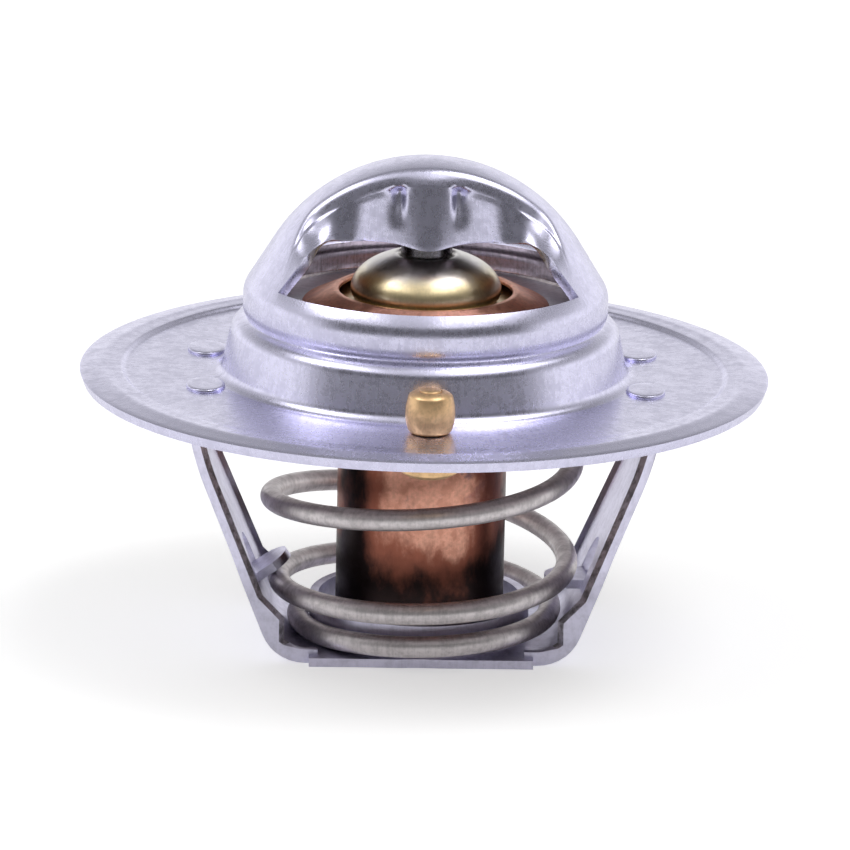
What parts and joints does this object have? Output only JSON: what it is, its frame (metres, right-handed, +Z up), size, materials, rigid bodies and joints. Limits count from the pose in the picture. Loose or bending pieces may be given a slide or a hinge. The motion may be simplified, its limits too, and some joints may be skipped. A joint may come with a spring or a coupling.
{
  "type": "engine thermostat",
  "caption": "Flanged engine thermostat with a domed bridge, a wax capsule on a fixed piston, a sprung plate valve, a folded lower frame and a jiggle pin.",
  "frame": {"origin": "middle of the foot's underside, on the thermostat's axis", "axes": "+Z up along the piston towards the domed bridge, X through the two legs, -Y towards the jiggle pin"},
  "size_m": [0.054, 0.054, 0.0387],
  "materials": {
    "stamped_steel": "stamped bright sheet with fine grain",
    "frame_steel": "stamped satin sheet",
    "spring_steel": "satin drawn wire",
    "plate_steel": "satin sheet",
    "copper": "tarnished copper",
    "guide_brass": "turned and polished",
    "rubber": "moulded",
    "washer_plastic": "smooth",
    "wax": "waxy",
    "piston_steel": "ground and dulled",
    "pin_brass": "rough turned"
  },
  "bodies": {
    "frame": {"bridge_flange": "stamped_steel", "lower_frame": "frame_steel", "spring": "spring_steel", "piston": "piston_steel"},
    "valve": {"valve_plate": "plate_steel", "wax_cup": "copper", "guide": "guide_brass", "rubber_sleeve": "rubber", "sleeve_washer": "washer_plastic", "wax_charge": "wax"},
    "jiggle": {"jiggle_pin": "pin_brass", "jiggle_weight": "pin_brass"}
  },
  "joints": [
    {"name": "valve_slide", "type": "slide", "parent": "frame", "child": "valve", "axis": [0, 0, -1], "range_m": [0, 0.008], "stiffness_N_per_m": 4000, "springref_m": -0.012, "deforming": ["spring"]},
    {"name": "jiggle_slide", "type": "slide", "parent": "frame", "child": "jiggle", "axis": [0, 0, 1], "range_m": [0, 0.00148]}
  ]
}
